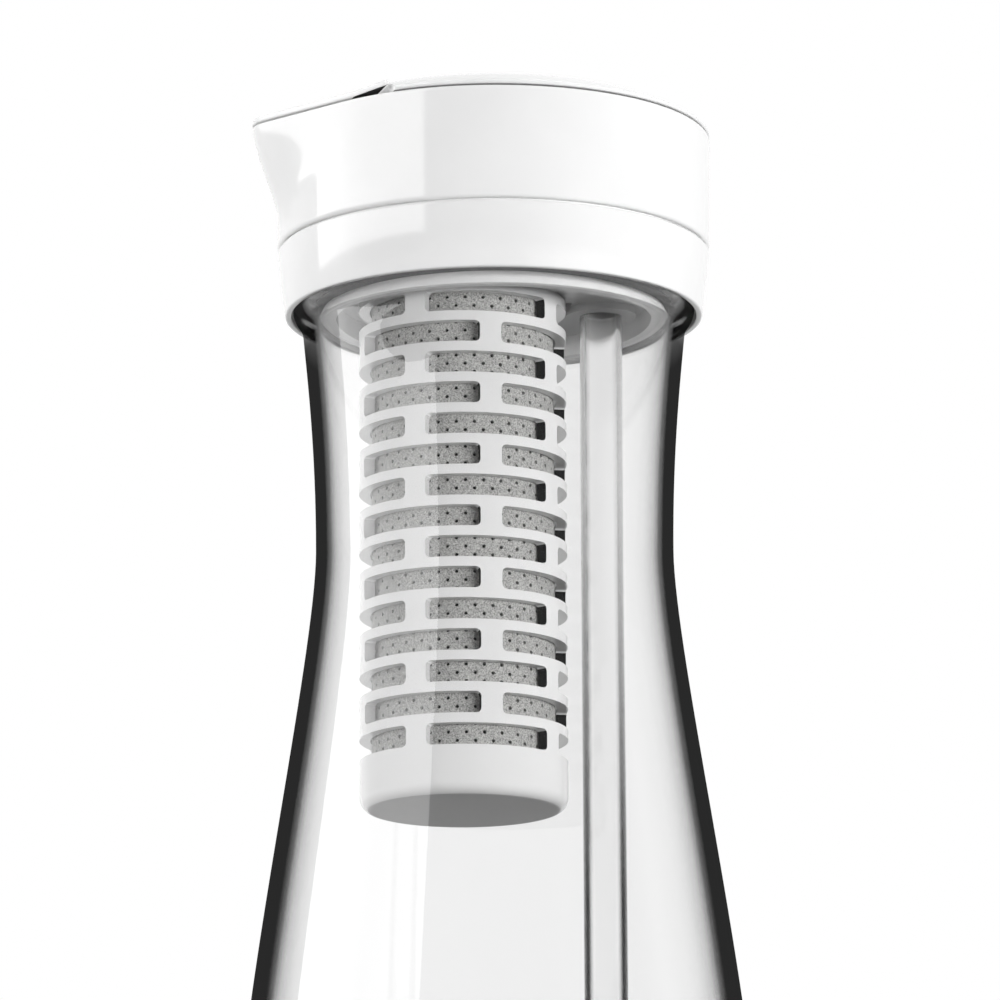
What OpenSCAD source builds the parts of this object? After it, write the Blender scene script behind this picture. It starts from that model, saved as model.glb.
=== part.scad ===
// Glass water filter pitcher without a handle: a waisted glass carafe, a two-part lid with a spout and
// a rocking flap, a slotted filter basket that hangs from the lid, and a vent tube beside it.
// Millimetres. Origin at the centre of the base, +Z up, the spout towards -X.

/* [Carafe glass] */
// height of the glass from the table to the top of its lip
glass_h = 220; // [200:1:250]
// outer radius at the waist of the neck
waist_r = 40; // [39:0.5:46]
// height of the waist
waist_z = 163; // [140:1:175]
// length of the straight pull of the curve at the waist
waist_pull = 24; // [10:1:40]
// outer radius at the widest part of the body
belly_r = 57.5; // [54:0.5:75]
// height of the widest part
belly_z = 24; // [16:1:40]
// length of the straight pull of the curve at the widest part
belly_pull = 35; // [15:1:60]
// how much wider the neck is just under the lip than at the waist
neck_flare = 2.9; // [1:0.1:5]
// how far the lip stands out from the neck
lip_out = 2.3; // [1:0.1:4]
// height of the flared lip
lip_h = 7.5; // [6:0.5:10]
// thickness of the lip at its top
lip_wall = 3.9; // [3:0.1:4.5]
// glass thickness in the neck
neck_wall = 3.4; // [2.5:0.1:4]
// glass thickness in the body
body_wall = 3.9; // [2.5:0.1:5]
// outer radius of the flat ring that the glass stands on
foot_r = 49; // [42:0.5:52]
// width of the flat standing ring
foot_w = 6; // [3:0.5:10]
// height of the hollow under the base
kick_h = 4; // [1:0.5:8]
// glass thickness at the middle of the base
floor_t = 6; // [4:0.5:12]
// width of the curve between the floor and the wall inside
floor_blend = 22; // [12:0.5:30]

/* [Lid collar and shell] */
// how far the collar hangs below the top of the lip
collar_drop = 3; // [1:0.5:6]
// height of the collar
collar_h = 15.2; // [12:0.1:22]
// thickness of the collar at its lower edge
collar_wall = 1.4; // [1:0.1:2.5]
// clearance between the collar and the glass lip
lip_gap = 0.4; // [0.3:0.1:1]
// shadow gap between the collar and the shell
seam_gap = 0.5; // [0.2:0.1:1]
// height of the shell
shell_h = 25; // [20:0.1:34]
// thickness of the collar at its top, where the shell meets it
collar_top = 3.2; // [2:0.1:5]
// how much wider the shell is at its rim than at its foot
rim_flare = 0.3; // [0:0.1:3]
// thickness of the shell
shell_wall = 2.2; // [1.6:0.1:3]
// thickness of the shell's lower sleeve inside the collar
spigot_t = 1.8; // [1.2:0.1:2.6]
// clearance of parts that are pressed together
snug_gap = 0.2; // [0.1:0.05:0.3]

/* [Spout and flap] */
// how far the spout reaches beyond the rim
spout_reach = 6.9; // [4:0.1:12]
// radius of the spout's nose in plan, at the rim
nose_r = 8; // [6:0.5:12]
// how much blunter the nose is at the foot of the spout
nose_grow = 10; // [2:0.5:16]
// height above the shell's foot where the spout starts
spout_start = 2.5; // [1:0.5:8]
// gap between the rim and the parts that lie on it
rim_gap = 0.4; // [0.3:0.1:0.8]
// thickness of the flap
flap_t = 1.3; // [1:0.1:2]
// distance of the flap's hinge inside the rim
pivot_in = 8.1; // [6:0.1:9]
// length of the flap's raised tab behind its hinge
tab_len = 6.9; // [5:0.1:8]
// rise of the tab
tab_rise = 1.65; // [1:0.05:1.9]
// gap behind the tab that lets it swing
tab_gap = 1.3; // [1.2:0.1:2.5]
// radius of the hinge pin
pin_r = 1.23; // [0.8:0.01:1.4]
// running clearance of the pin in the ears
pin_gap = 0.05; // [0.02:0.01:0.1]
// length of the hinge pin
pin_len = 36; // [34:0.5:36.5]
// depth of the pin's axis under the flap
pin_drop = 2.6; // [2.5:0.1:3.5]
// radius of the ears that hold the pin
ear_r = 2.3; // [2:0.1:2.4]
// thickness of an ear
ear_t = 3; // [2:0.1:4]
// distance of an ear from the middle
ear_y = 17; // [16:0.5:18]
// thickness of one of the flap's knuckles
knuckle_t = 4; // [2:0.1:6]
// distance of a knuckle from the middle
knuckle_y = 9; // [6:0.5:12]
// thickness of the soft pad under the flap
pad_t = 0.8; // [0.5:0.1:1.2]
// depth of the spout liner's plate under the pin
liner_drop = 4.4; // [3.5:0.1:6]
// thickness of the spout liner's plate
liner_t = 1.8; // [1.2:0.1:2.5]
// width of the liner's plate around the pouring hole
liner_edge = 3; // [2:0.1:4]

/* [Lid cover] */
// thickness of the cover at its edge
cover_edge = 0.8; // [0.5:0.1:2]
// rise of the pillow-shaped cover above its edge
cover_rise = 7.1; // [4:0.1:9]
// thickness of the cover
cover_t = 1.8; // [1.2:0.1:2.5]
// depth of the cover's locating ring
loc_h = 4; // [2:0.1:6]
// thickness of the cover's locating ring
loc_t = 1.5; // [1:0.1:2.2]
// radius of the air hole in the cover
air_r = 2.5; // [1:0.1:3]
// inset of the cover's gasket from the rim
gasket_in = 0.6; // [0.3:0.1:1]

/* [Lid base and seals] */
// gap that the lid rests with on the glass lip
rest_gap = 0.2; // [0.1:0.05:0.5]
// thickness of the base plate
deck_t = 2.6; // [2:0.1:4]
// depth of the plug skirt below the base plate
skirt_drop = 4.6; // [4:0.1:7]
// thickness of the plug skirt
skirt_t = 2.2; // [1.5:0.1:3]
// thickness of the plug seal's body
seal_t = 1; // [0.6:0.1:1.5]
// gap between the plug seal and the glass
fin_gap = 0.3; // [0.25:0.05:0.6]
// room for the seal's band and fin in the neck
fin_room = 0.9; // [0.5:0.1:1.4]
// height of the snap bead on the base plate
bead_h = 0.8; // [0.5:0.1:1.2]
// depth of the snap bead
bead_d = 0.6; // [0.3:0.1:0.8]
// thickness of the gasket on the base plate
chamber_seal_t = 1.1; // [0.6:0.1:2]

/* [Filter basket] */
// gap between the basket and the glass at the waist
basket_room = 6.1; // [4:0.1:9]
// gap between the basket and the vent tube
tube_room = 4.6; // [3:0.1:8]
// thickness of the basket
basket_wall = 2.4; // [2:0.1:3]
// thickness of the basket's floor
basket_floor = 2.4; // [1.5:0.1:4]
// radius of the basket's lower edge
basket_edge = 2.8; // [1:0.1:4]
// gap between the basket's shoulder and the lid
basket_gap = 0.5; // [0.3:0.1:1]
// height of the plain band above the slots
top_band = 2.5; // [1:0.1:6]
// number of slot rows
slot_rows = 15; // [5:1:15]
// distance from one row to the next
slot_pitch = 7; // [6:0.1:8]
// height of a slot
slot_h = 4.8; // [3:0.1:5.4]
// slots in one row
slot_count = 4; // [3:1:8]
// angle of the bar between two slots
slot_bar = 12; // [8:0.5:20]
// how far the bars of every second row are turned towards the front and the back
bar_shift = 3; // [0:0.5:6]
// height of the plain cup below the slots
cup_h = 10.9; // [8:0.1:20]
// depth of the basket's shoulder
shoulder = 0.9; // [0.6:0.1:1]
// clearance of the parts that turn with the basket
turn_gap = 0.4; // [0.3:0.05:0.6]
// height of the socket that holds the basket's neck
socket_h = 10.2; // [9.4:0.1:14]
// thickness of the socket outside its groove
socket_wall = 2.1; // [1.5:0.1:3]
// number of locking lugs
lug_count = 3; // [2:1:3]
// angle that a lug covers
lug_deg = 24; // [12:1:30]
// how far a lug stands out
lug_out = 2.2; // [1.2:0.1:2.4]
// height of a lug
lug_h = 2.2; // [1.5:0.1:2.6]
// height of the lugs above the base plate's underside
lug_up = 4.1; // [3.6:0.1:4.4]
// angle of the twist that frees the basket
twist = 40; // [30:1:50]
// thickness of the rubber rings
ring_d = 1.2; // [0.9:0.05:1.3]
// squeeze room left around the rubber rings
ring_gap = 0.08; // [0.05:0.01:0.1]

/* [Cartridge] */
// gap between the sleeve and the basket
sleeve_room = 0.5; // [0.4:0.1:3]
// thickness of the sleeve
sleeve_t = 0.9; // [0.6:0.1:2]
// thickness of the end caps' plates
cap_t = 3.2; // [2.6:0.1:5]
// gap between the upper cap and the basket
cap_gap = 0.35; // [0.3:0.05:0.5]
// outer radius of the outlet tube in the filter medium
core_r = 8.3; // [6:0.1:10]
// thickness of the outlet tube
core_t = 1.5; // [1:0.1:2.5]
// radius of the holes in the outlet tube
core_hole_r = 0.9; // [0.5:0.1:1.5]
// levels of holes in the outlet tube
core_levels = 10; // [4:1:14]
// height of the outlet above the upper cap
outlet_h = 4; // [3:0.1:5]
// thickness of the outlet's wall around the tube
outlet_wall = 2.2; // [1.2:0.1:3]
// thickness of the outlet screen
screen_t = 0.6; // [0.3:0.1:1]

/* [Vent tube] */
// gap between the tube and the glass at the waist
tube_side = 6.3; // [6:0.1:10]
// outer radius of the tube
tube_r = 4.9; // [4:0.1:5.2]
// thickness of the tube
tube_wall = 1.4; // [1:0.1:1.6]
// gap between the end of the tube and the glass floor
tube_foot = 14; // [8:0.5:30]
// length of the tube above the base plate
tube_in = 6.4; // [4:0.1:9]
// thickness of the grommet
grommet_t = 1.5; // [1:0.1:1.8]
// thickness of the grommet's flange
grommet_flange = 0.6; // [0.6:0.1:1.6]
// thickness of the riser around the grommet
riser_wall = 1.7; // [1.2:0.1:2]
// depth of the riser's boss under the base plate
boss_drop = 1; // [1:0.1:3]
// radius of the air way in the riser
airway_r = 3.1; // [2:0.1:3.6]

/* [Hidden] */
round_fn = 128;
fine_fn = 48;
// overlap that joins the shapes of one piece, and that takes a cut through a face
over = 1;

white = [0.95, 0.95, 0.94];
soft_white = [0.9, 0.9, 0.9];

// glass
waist_in = waist_r - neck_wall;
belly_in = belly_r - body_wall;
neck_r = waist_r + neck_flare;
lip_r = neck_r + lip_out;
lip_z = glass_h - lip_h;
mouth_r = neck_r - neck_wall;
mouth_top_r = lip_r - lip_wall;
glass_floor_z = kick_h + floor_t;

// lid heights
collar_z = glass_h - collar_drop;
shell_z = collar_z + collar_h + seam_gap;
rim_z = shell_z + shell_h;
deck_z = glass_h + rest_gap;
deck_top = deck_z + deck_t;
spigot_z = deck_top + chamber_seal_t;

// lid radii
collar_in = lip_r + lip_gap;
shell_r = collar_in + collar_top;
rim_r = shell_r + rim_flare;
deck_r = collar_in - snug_gap;
spigot_r = collar_in - snug_gap;
spigot_in = spigot_r - spigot_t;
seal_r = mouth_r - fin_room;
skirt_r = seal_r - seal_t;
skirt_z = deck_z - skirt_drop;

// spout
pivot_x = rim_r - pivot_in;
spout_z = shell_z + spout_start;
flap_z = rim_z + rim_gap;
pin_z = flap_z - pin_drop;
liner_top = pin_z - liner_drop;
liner_z = liner_top - liner_t;
tab_x = pivot_x - tab_len;
front_x = tab_x - tab_gap;
hole_front = pivot_x + ear_r + tab_gap;

// cover
cover_z = rim_z + rim_gap;
loc_r = rim_r - shell_wall - snug_gap - 0.1;

// filter and tube side by side across the waist
basket_r = waist_in - (basket_room + tube_room + 2 * tube_r + tube_side) / 2;
filter_x = waist_in - basket_room - basket_r;
tube_x = waist_in - tube_side - tube_r;

// basket
shoulder_z = deck_z - basket_gap;
slot_top = shoulder_z - top_band;
slot_mid = slot_top - slot_h / 2;
slots_low = slot_mid - (slot_rows - 1) * slot_pitch - slot_h / 2;
basket_z = slots_low - cup_h;
basket_in = basket_r - basket_wall;
hub_r = basket_r - shoulder;
socket_r = hub_r + turn_gap;
lug_r = hub_r + lug_out;
groove_r = lug_r + turn_gap;
socket_top = deck_z + socket_h;
hub_top = socket_top - turn_gap;
lug_z = deck_z + lug_up;
lug_gap = 0.3;
ring_z = hub_top - ring_d;
ring_r = socket_r - ring_gap - ring_d / 2;

// cartridge
cap_z = basket_z + basket_floor;
sleeve_z = cap_z + cap_t;
sleeve_top = deck_z - cap_t / 2 + 0.4;
sleeve_r = basket_in - sleeve_room;
sleeve_in = sleeve_r - sleeve_t;
cap_r = basket_in - cap_gap;
cap_ring_r = basket_in - ring_gap - ring_d / 2;
core_in = core_r - core_t;
fit_gap = 0.05;
core_z = sleeve_z - cap_t / 2;
core_top = sleeve_top + cap_t + outlet_h - 1;

// vent
tube_z = glass_floor_z + tube_foot;
tube_top = deck_top + tube_in;
grommet_r = tube_r + fit_gap + grommet_t;
riser_bore = grommet_r + fit_gap;
riser_r = riser_bore + riser_wall;
riser_top = dome(tube_x + riser_r) - cover_t - snug_gap;

// one point of a cubic curve, and the whole curve in n steps
function bez_at(p, t) = pow(1 - t, 3) * p[0] + 3 * t * pow(1 - t, 2) * p[1]
    + 3 * t * t * (1 - t) * p[2] + pow(t, 3) * p[3];
function bez(p, n) = [for (i = [0 : n]) bez_at(p, i / n)];
function tail(v) = [for (i = [1 : len(v) - 1]) v[i]];
function clamp01(v) = min(1, max(0, v));

// inner curve of the mouth, from the top down to the neck
mouth = [[mouth_top_r, glass_h - 0.7], [mouth_r + 0.7, glass_h - 2.5], [mouth_r + 0.3, lip_z + 2.5],
    [mouth_r, lip_z]];

// outline of the glass: up the outside, over the lip, down the inside and under the base
function glass_outline() =
    concat(
        bez([[foot_r, 0], [foot_r + (belly_r - foot_r) * 0.75, 0], [belly_r, belly_z * 0.4],
            [belly_r, belly_z]], 10),
        tail(bez([[belly_r, belly_z], [belly_r, belly_z + belly_pull], [waist_r, waist_z - waist_pull],
            [waist_r, waist_z]], 24)),
        tail(bez([[waist_r, waist_z], [waist_r, waist_z + waist_pull], [neck_r - 0.7, lip_z - 8],
            [neck_r, lip_z]], 14)),
        tail(bez([[neck_r, lip_z], [neck_r + 0.3, lip_z + lip_h * 0.37], [lip_r - 0.4, lip_z + lip_h * 0.46],
            [lip_r, lip_z + lip_h * 0.73]], 8)),
        tail(bez([[lip_r, lip_z + lip_h * 0.73], [lip_r, lip_z + lip_h * 0.89], [lip_r - 0.5, glass_h],
            [lip_r - 1.4, glass_h]], 5)),
        bez([[mouth_top_r + 0.9, glass_h], [mouth_top_r + 0.4, glass_h], [mouth_top_r + 0.2, glass_h - 0.2],
            mouth[0]], 4),
        tail(bez(mouth, 8)),
        tail(bez([[mouth_r, lip_z], [mouth_r - 0.7, lip_z - 8], [waist_in, waist_z + waist_pull],
            [waist_in, waist_z]], 14)),
        tail(bez([[waist_in, waist_z], [waist_in, waist_z - waist_pull], [belly_in, belly_z + belly_pull + 4],
            [belly_in, belly_z + 4]], 24)),
        tail(bez([[belly_in, belly_z + 4], [belly_in, glass_floor_z + 4], [belly_in - 8, glass_floor_z],
            [belly_in - floor_blend, glass_floor_z]], 10)),
        [[0, glass_floor_z], [0, kick_h]],
        tail(bez([[0, kick_h], [foot_r * 0.4, kick_h], [foot_r - foot_w - 6, kick_h * 0.3],
            [foot_r - foot_w, 0]], 8))
    );

// radius of the cover's pillow-shaped top at a distance from the axis
function dome(r) = cover_z + cover_edge + cover_rise * (1 - pow(r / rim_r, 4));

// plan outline of the lid with its spout: a circle of radius r and a nose of radius q that reaches x,
// joined by straight sides; d is the angle away from the spout
function tear(r, x, q, d) =
    x <= r + 0.01 ? r :
    let (c = x - q, b = acos((r - q) / c), e = atan2(q * sin(b), c + q * cos(b)))
    d >= b ? r : d >= e ? r / cos(b - d) : c * cos(d) + sqrt(q * q - pow(c * sin(d), 2));
function lift(z) = clamp01((z - spout_z) / (rim_z - spout_z));
function reach(z) = let (t = lift(z)) spout_reach * (0.5 * t + 0.5 * t * t * (3 - 2 * t));
function wall_r(z) = shell_r + (rim_r - shell_r) * clamp01((z - shell_z) / shell_h);
function nose(z) = nose_r + nose_grow * (1 - lift(z));
function lid_radius(z, inset, d) =
    tear(wall_r(z) - inset, wall_r(z) + reach(z) - inset, nose(z) - inset, d);
angles = concat([for (a = [-40 : 2.5 : 40]) a], [for (a = [45 : 5 : 315]) a]);
function away(a) = a > 180 ? 360 - a : abs(a);
function lid_plan(z, inset) = [for (a = angles) lid_radius(z, inset, away(a)) * [-cos(a), sin(a)]];

// closed band: each entry of loops is one closed cross-section with the same number of points
module band(loops) {
    n = len(loops);
    m = len(loops[0]);
    points = [for (loop = loops) for (p = loop) p];
    faces = [for (i = [0 : n - 1]) for (j = [0 : m - 1])
        let (a = i * m + j, b = i * m + (j + 1) % m, c = ((i + 1) % n) * m + (j + 1) % m,
            d = ((i + 1) % n) * m + j)
        each [[a, b, c], [a, c, d]]];
    polyhedron(points = points, faces = faces, convexity = 6);
}

module tube_of(r_out, r_in, z0, z1) {
    translate([0, 0, z0])
        difference() {
            cylinder(r = r_out, h = z1 - z0, $fn = round_fn);
            translate([0, 0, -over])
                cylinder(r = r_in, h = z1 - z0 + 2 * over, $fn = round_fn);
        }
}

module disc(r, z0, z1) {
    translate([0, 0, z0])
        cylinder(r = r, h = z1 - z0, $fn = round_fn);
}

// part of a ring between two angles
module sector(r0, r1, z0, z1, a0, a1) {
    rotate([0, 0, a0])
        rotate_extrude(angle = a1 - a0, $fn = round_fn)
            translate([r0, z0])
                square([r1 - r0, z1 - z0]);
}

module rubber_ring(r, z) {
    rotate_extrude($fn = round_fn)
        translate([r, z])
            circle(d = ring_d, $fn = 32);
}

// round bar along Y at the flap's hinge
module at_hinge(r, y, t) {
    translate([-pivot_x, y - t / 2, pin_z])
        rotate([-90, 0, 0])
            cylinder(r = r, h = t, $fn = fine_fn);
}

// everything in front of a plane across the spout
module ahead_of(x) {
    translate([-x - 2 * belly_r, -belly_r, 0])
        cube([2 * belly_r, 2 * belly_r, 2 * glass_h]);
}

module glass_carafe() color([0.9, 0.93, 0.94, 0.4]) {
    rotate_extrude($fn = round_fn)
        polygon(glass_outline());
}

module lid_collar() color(white) {
    low_r = collar_in + collar_wall;
    top_z = collar_z + collar_h;
    bead_z = deck_z + snug_gap;
    rotate_extrude($fn = round_fn)
        polygon([[collar_in, collar_z], [low_r - 0.4, collar_z], [low_r, collar_z + 0.4], [shell_r, top_z],
            [collar_in, top_z], [collar_in, bead_z + bead_h + snug_gap],
            [collar_in + bead_d, bead_z + bead_h + snug_gap], [collar_in + bead_d, bead_z - snug_gap],
            [collar_in, bead_z - snug_gap]]);
}

module lid_shell() color(white) {
    outer_z = [for (t = [0, 0.1, 0.22, 0.35, 0.48, 0.61, 0.74, 0.87, 0.97]) shell_z + shell_h * t];
    inner_z = [for (t = [1, 0.84, 0.68, 0.52, 0.36, 0.18]) shell_z + shell_h * t];
    loops = [for (a = angles)
        let (u = [-cos(a), sin(a)], d = away(a),
            rz = concat(
                [for (z = outer_z) [lid_radius(z, 0, d), z]],
                [[lid_radius(rim_z, 0.5, d), rim_z]],
                [for (z = inner_z) [lid_radius(z, shell_wall, d), z]],
                [[spigot_in, shell_z + 2], [spigot_in, spigot_z], [spigot_r, spigot_z], [spigot_r, shell_z]]))
        [for (p = rz) [p[0] * u[0], p[0] * u[1], p[1]]]];
    band(loops);
}

// the solid under the cover's outer surface
module dome_solid() {
    rotate_extrude($fn = round_fn)
        polygon(concat([[0, cover_z]], [[rim_r, cover_z]],
            [for (i = [24 : -1 : 0]) [rim_r * i / 24, dome(rim_r * i / 24)]]));
}

module lid_cover() color(white) {
    difference() {
        union() {
            difference() {
                rotate_extrude($fn = round_fn)
                    polygon(concat(
                        [for (i = [0 : 24]) [rim_r * i / 24, dome(rim_r * i / 24)]],
                        [[rim_r, cover_z], [loc_r, cover_z], [loc_r, cover_z - loc_h],
                            [loc_r - loc_t, cover_z - loc_h]],
                        [for (i = [24 : -1 : 0])
                            let (r = (loc_r - loc_t) * i / 24) [r, dome(r) - cover_t]]));
                ahead_of(front_x);
            }
            intersection() {
                union() {
                    dome_solid();
                    disc(loc_r, liner_top, cover_z + 0.1);
                }
                translate([-front_x, -belly_r, liner_top])
                    cube([cover_t, 2 * belly_r, glass_h]);
            }
            intersection() {
                dome_solid();
                translate([tube_x, 0, 0])
                    tube_of(riser_r + snug_gap + loc_t, riser_r + snug_gap, cover_z, cover_z + glass_h);
            }
        }
        translate([tube_x, 0, 0])
            disc(air_r, cover_z, cover_z + glass_h);
    }
}

module lid_base() color(soft_white) {
    difference() {
        union() {
            disc(deck_r, deck_z, deck_top);
            translate([0, 0, deck_z + snug_gap])
                cylinder(r = collar_in + bead_d - snug_gap, h = bead_h, $fn = round_fn);
            tube_of(skirt_r, skirt_r - skirt_t, skirt_z, deck_z + over);
            translate([-filter_x, 0, 0])
                disc(groove_r + socket_wall, deck_z, socket_top);
            translate([tube_x, 0, 0])
                disc(riser_r, deck_z - boss_drop, riser_top);
        }
        translate([-filter_x, 0, 0]) {
            disc(socket_r, deck_z - over, socket_top + over);
            for (k = [0 : lug_count - 1]) {
                a = k * 360 / lug_count + 30;
                slack = 1.5;
                sector(socket_r - over, groove_r, lug_z - lug_gap, lug_z + lug_h + lug_gap,
                    a - twist - slack, a + lug_deg + slack);
                sector(socket_r - over, groove_r, deck_z - over, lug_z,
                    a - twist - slack, a - twist + lug_deg + slack);
            }
        }
        translate([tube_x, 0, 0]) {
            disc(riser_bore, deck_z - boss_drop - over, tube_top + snug_gap);
            disc(airway_r, tube_top - over, riser_top + over);
        }
    }
}

module neck_seal() color(white) {
    fin = bez_at(mouth, 0.15);
    band_r = mouth_r - fin_gap;
    rotate_extrude($fn = round_fn)
        polygon([[skirt_r, skirt_z], [band_r - 0.3, skirt_z], [band_r, skirt_z + 0.3],
            [band_r, fin[1]], [fin[0] - fin_gap, fin[1] + 0.2], [fin[0] - fin_gap, fin[1] + 0.5],
            [seal_r, fin[1] + 0.9], [seal_r, deck_z], [skirt_r, deck_z]]);
}

module chamber_seal() color([0.75, 0.75, 0.75]) {
    tube_of(spigot_r, spigot_in, deck_top, spigot_z);
}

module cover_seal() color([0.35, 0.35, 0.36]) {
    difference() {
        tube_of(rim_r - gasket_in, rim_r - shell_wall + 0.2, rim_z, cover_z);
        ahead_of(front_x);
    }
}

module spout_liner() color(soft_white) {
    difference() {
        union() {
            difference() {
                translate([0, 0, liner_z])
                    linear_extrude(liner_t)
                        polygon(lid_plan(liner_z, shell_wall + snug_gap));
                translate([-front_x + cover_t, -belly_r, 0])
                    cube([2 * belly_r, 2 * belly_r, 2 * glass_h]);
                intersection() {
                    translate([0, 0, liner_z - over])
                        linear_extrude(liner_t + 2 * over)
                            polygon(lid_plan(liner_z, shell_wall + snug_gap + liner_edge));
                    ahead_of(hole_front);
                }
            }
            for (s = [-1, 1]) {
                at_hinge(ear_r, s * ear_y, ear_t);
                translate([-pivot_x - ear_r, s * ear_y - ear_t / 2, liner_top - liner_t / 2])
                    cube([2 * ear_r, ear_t, pin_z - liner_top + liner_t / 2]);
            }
        }
        for (s = [-1, 1])
            at_hinge(pin_r + pin_gap, s * ear_y, ear_t + 2 * over);
    }
}

module spout_flap() color(white) {
    difference() {
        union() {
            intersection() {
                translate([0, 0, rim_z])
                    linear_extrude(glass_h)
                        polygon(lid_plan(rim_z, 0));
                translate([0, belly_r, 0])
                    rotate([90, 0, 0])
                        linear_extrude(2 * belly_r)
                            polygon([[-rim_r - spout_reach - over, flap_z], [-pivot_x, flap_z],
                                [-tab_x, flap_z + tab_rise], [-tab_x, flap_z + tab_rise + flap_t],
                                [-pivot_x, flap_z + flap_t], [-rim_r - spout_reach - over, flap_z + flap_t]]);
            }
            for (s = [-1, 1]) {
                at_hinge(ear_r, s * knuckle_y, knuckle_t);
                translate([-pivot_x - ear_r, s * knuckle_y - knuckle_t / 2, pin_z])
                    cube([2 * ear_r, knuckle_t, pin_drop + flap_t * 0.6]);
            }
        }
        for (s = [-1, 1])
            at_hinge(pin_r + pin_gap / 2, s * knuckle_y, knuckle_t + 2 * over);
    }
}

module flap_pin() color([0.75, 0.76, 0.77]) {
    at_hinge(pin_r, 0, pin_len);
}

module flap_pad() color([0.8, 0.8, 0.8]) {
    intersection() {
        translate([0, 0, flap_z - pad_t])
            linear_extrude(pad_t)
                polygon(lid_plan(rim_z - pad_t, shell_wall + 0.5));
        ahead_of(pivot_x + ear_r + lug_gap);
    }
}

module vent_tube() color([0.92, 0.94, 0.95, 0.5]) {
    translate([tube_x, 0, 0])
        tube_of(tube_r, tube_r - tube_wall, tube_z, tube_top);
}

module vent_grommet() color([0.85, 0.85, 0.85]) {
    translate([tube_x, 0, 0]) {
        low = deck_z - boss_drop;
        difference() {
            union() {
                disc(grommet_r, low - grommet_flange, tube_top);
                disc(riser_r, low - grommet_flange, low);
            }
            disc(tube_r + fit_gap, low - grommet_flange - over, tube_top + over);
        }
    }
}

// angle of a bar between two slots of a row
function bar_at(row, k) =
    row % 2 != 0 ? k * 360 / slot_count :
    (k + 0.5) * 360 / slot_count + bar_shift * (k % slot_count % 2 == 0 ? 1 : -1);

module filter_basket() color(white) translate([-filter_x, 0, 0]) {
    difference() {
        union() {
            rotate_extrude($fn = round_fn)
                polygon(concat([[0, basket_z]],
                    [for (i = [0 : 6]) [basket_r - basket_edge + basket_edge * sin(i * 15),
                        basket_z + basket_edge - basket_edge * cos(i * 15)]],
                    [[basket_r, shoulder_z], [hub_r, shoulder_z], [hub_r, hub_top], [0, hub_top]]));
            for (k = [0 : lug_count - 1])
                sector(hub_r - basket_wall / 4, lug_r, lug_z, lug_z + lug_h,
                    k * 360 / lug_count + 30, k * 360 / lug_count + 30 + lug_deg);
        }
        disc(basket_in, basket_z + basket_floor, hub_top + over);
        tube_of(hub_r + over, ring_r - ring_d / 2 - fit_gap, ring_z - ring_d / 2 - 0.1, ring_z + ring_d / 2 + 0.1);
        for (row = [0 : slot_rows - 1])
            for (k = [0 : slot_count - 1]) {
                z = slot_mid - row * slot_pitch;
                sector(basket_in - over, basket_r + over, z - slot_h / 2, z + slot_h / 2,
                    bar_at(row, k) + slot_bar / 2, bar_at(row, k + 1) - slot_bar / 2);
            }
    }
}

module basket_o_ring() color([0.3, 0.3, 0.3]) {
    translate([-filter_x, 0, 0])
        rubber_ring(ring_r, ring_z);
}

module filter_sleeve() color([0.72, 0.72, 0.7]) {
    translate([-filter_x, 0, 0])
        tube_of(sleeve_r, sleeve_in, sleeve_z, sleeve_top);
}

module carbon_block() color([0.12, 0.12, 0.12]) {
    translate([-filter_x, 0, 0])
        tube_of(sleeve_in - fit_gap, core_r + fit_gap, sleeve_z, sleeve_top);
}

module core_tube() color([0.85, 0.85, 0.85]) translate([-filter_x, 0, 0]) {
    step = (sleeve_top - sleeve_z) / (core_levels + 1);
    difference() {
        tube_of(core_r, core_in, core_z, core_top);
        for (i = [1 : core_levels])
            for (a = [0, 90])
                translate([0, 0, sleeve_z + i * step])
                    rotate([90, 0, a + i * 45])
                        cylinder(r = core_hole_r, h = 4 * core_r, center = true, $fn = 24);
    }
}

module cartridge_top_cap() color([0.8, 0.8, 0.8]) translate([-filter_x, 0, 0]) {
    mid = sleeve_top + cap_t / 2;
    difference() {
        union() {
            disc(cap_r, sleeve_top, sleeve_top + cap_t);
            disc(core_r + outlet_wall, sleeve_top, sleeve_top + cap_t + outlet_h);
        }
        disc(core_r + fit_gap, sleeve_top - over, sleeve_top + cap_t + outlet_h + over);
        tube_of(cap_r + over, cap_ring_r - ring_d / 2 - fit_gap, mid - ring_d / 2 - 0.1, mid + ring_d / 2 + 0.1);
    }
}

module cartridge_bottom_cap() color([0.8, 0.8, 0.8]) translate([-filter_x, 0, 0]) {
    difference() {
        disc(cap_r, cap_z, sleeve_z);
        disc(core_r + fit_gap, core_z, sleeve_z + over);
    }
}

module cartridge_o_ring() color([0.3, 0.3, 0.3]) {
    translate([-filter_x, 0, 0])
        rubber_ring(cap_ring_r, sleeve_top + cap_t / 2);
}

module outlet_screen() color([0.7, 0.71, 0.72]) {
    translate([-filter_x, 0, 0])
        disc(core_in - fit_gap, core_top - 2 * screen_t, core_top - screen_t);
}

glass_carafe();
lid_collar();
lid_shell();
lid_cover();
lid_base();
neck_seal();
chamber_seal();
cover_seal();
spout_liner();
spout_flap();
flap_pin();
flap_pad();
vent_tube();
vent_grommet();
filter_basket();
basket_o_ring();
filter_sleeve();
carbon_block();
core_tube();
cartridge_top_cap();
cartridge_bottom_cap();
cartridge_o_ring();
outlet_screen();
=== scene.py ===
"""Glass water filter pitcher: the dressed model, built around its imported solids, and a plain studio."""

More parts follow.
